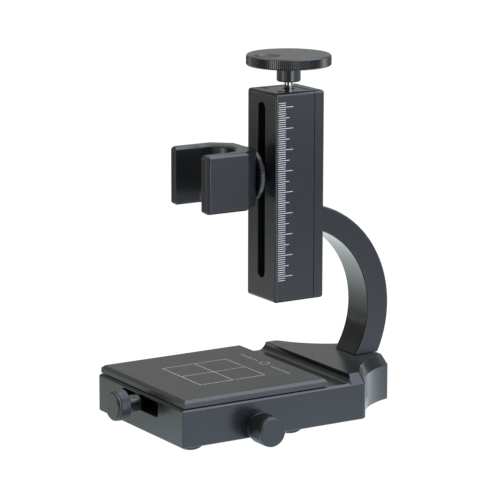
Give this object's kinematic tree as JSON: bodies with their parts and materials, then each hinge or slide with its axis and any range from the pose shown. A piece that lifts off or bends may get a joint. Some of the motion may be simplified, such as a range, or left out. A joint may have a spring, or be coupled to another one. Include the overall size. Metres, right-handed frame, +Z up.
{
  "type": "microscope stand",
  "caption": "Bench stand for a pen-type microscope: slotted focusing column with hand wheel and tilting clip, on a C-shaped arm over a base with a square XY stage.",
  "frame": {"origin": "under the middle of the whole object's box, on the table the feet stand on", "axes": "+Z up, -Y towards the user (stage, clip and Y knob), +X towards the X knob and the engraved scale"},
  "size_m": [0.0918, 0.1478, 0.1722],
  "materials": {
    "black_anodised": "satin black anodised",
    "stage_anodised": "satin dark grey anodised",
    "polished_steel": "ground and polished",
    "brass": "turned",
    "rubber": "matt black",
    "black_screw": "black oxide"
  },
  "bodies": {
    "base": {"base_block": "black_anodised", "bottom_cover": "black_anodised", "cover_screw_1": "black_screw", "cover_screw_2": "black_screw", "cover_screw_3": "black_screw", "cover_screw_4": "black_screw", "foot_1": "rubber", "foot_2": "rubber", "foot_3": "rubber", "foot_4": "rubber", "foot_5": "rubber", "arm": "black_anodised", "arm_base_screw_1": "black_screw", "arm_base_screw_2": "black_screw", "arm_column_screw_1": "black_screw", "arm_column_screw_2": "black_screw", "column_housing": "black_anodised", "column_rear_plate": "black_anodised", "rear_plate_screw_1": "black_screw", "rear_plate_screw_2": "black_screw", "rear_plate_screw_3": "black_screw", "rear_plate_screw_4": "black_screw", "column_top_cap": "black_anodised", "top_cap_screw_1": "black_screw", "top_cap_screw_2": "black_screw", "top_bearing": "polished_steel", "bottom_bearing": "polished_steel", "z_guide_rod_1": "polished_steel", "z_guide_rod_2": "polished_steel", "x_bush": "black_anodised", "x_end_bush": "brass", "x_guide_rod_1": "polished_steel", "x_guide_rod_2": "polished_steel"},
    "focus_drive": {"lead_screw": "polished_steel", "hand_wheel": "black_anodised", "wheel_set_screw": "black_screw"},
    "focus_carriage": {"z_carriage": "black_anodised", "z_nut": "brass", "clip_spindle": "polished_steel", "spindle_spacer": "black_anodised"},
    "lock_ring": {"lock_ring": "black_anodised"},
    "clip": {"clip_fork": "black_anodised", "clip_screw": "black_screw"},
    "x_drive": {"x_knob": "black_anodised", "x_screw": "polished_steel", "x_retaining_ring": "polished_steel"},
    "x_carriage": {"x_saddle": "black_anodised", "x_nut": "brass", "y_guide_rod_1": "polished_steel", "y_guide_rod_2": "polished_steel"},
    "y_drive": {"y_knob": "black_anodised", "y_screw": "polished_steel"},
    "stage": {"stage_plate": "stage_anodised", "stage_carriage": "black_anodised", "y_nut": "brass", "stage_screw_1": "black_screw", "stage_screw_2": "black_screw"}
  },
  "joints": [
    {"name": "focus_wheel_turn", "type": "hinge", "parent": "base", "child": "focus_drive", "pos_m": [-0.00675, 0.02196, 0.1671], "axis": [0, 0, 1], "range_deg": [-10081, 16201]},
    {"name": "focus_slide", "type": "slide", "parent": "base", "child": "focus_carriage", "axis": [0, 0, 1], "range_m": [-0.045, 0.028]},
    {"name": "lock_ring_turn", "type": "hinge", "parent": "focus_carriage", "child": "lock_ring", "pos_m": [-0.00675, 0.00032, 0.1174], "axis": [0, 1, 0], "range_deg": [0, 180]},
    {"name": "clip_tilt", "type": "hinge", "parent": "focus_carriage", "child": "clip", "pos_m": [-0.00675, -0.00163, 0.1174], "axis": [0, 1, 0], "range_deg": [-90, 90]},
    {"name": "x_knob_turn", "type": "hinge", "parent": "base", "child": "x_drive", "pos_m": [0.03575, -0.01894, 0.0078], "axis": [1, 0, 0], "range_deg": [-7201, 7201]},
    {"name": "x_slide", "type": "slide", "parent": "base", "child": "x_carriage", "axis": [1, 0, 0], "range_m": [-0.01, 0.01]},
    {"name": "y_knob_turn", "type": "hinge", "parent": "x_carriage", "child": "y_drive", "pos_m": [-0.00675, -0.06703, 0.0158], "axis": [0, 1, 0], "range_deg": [-6121, 6121]},
    {"name": "y_slide", "type": "slide", "parent": "x_carriage", "child": "stage", "axis": [0, 1, 0], "range_m": [-0.0085, 0.0085]}
  ],
  "couplings": [
    {"joint": "focus_wheel_turn", "follows": "focus_slide", "rad_per_m": -6283.2},
    {"joint": "x_knob_turn", "follows": "x_slide", "rad_per_m": -12566},
    {"joint": "y_knob_turn", "follows": "y_slide", "rad_per_m": -12566}
  ]
}
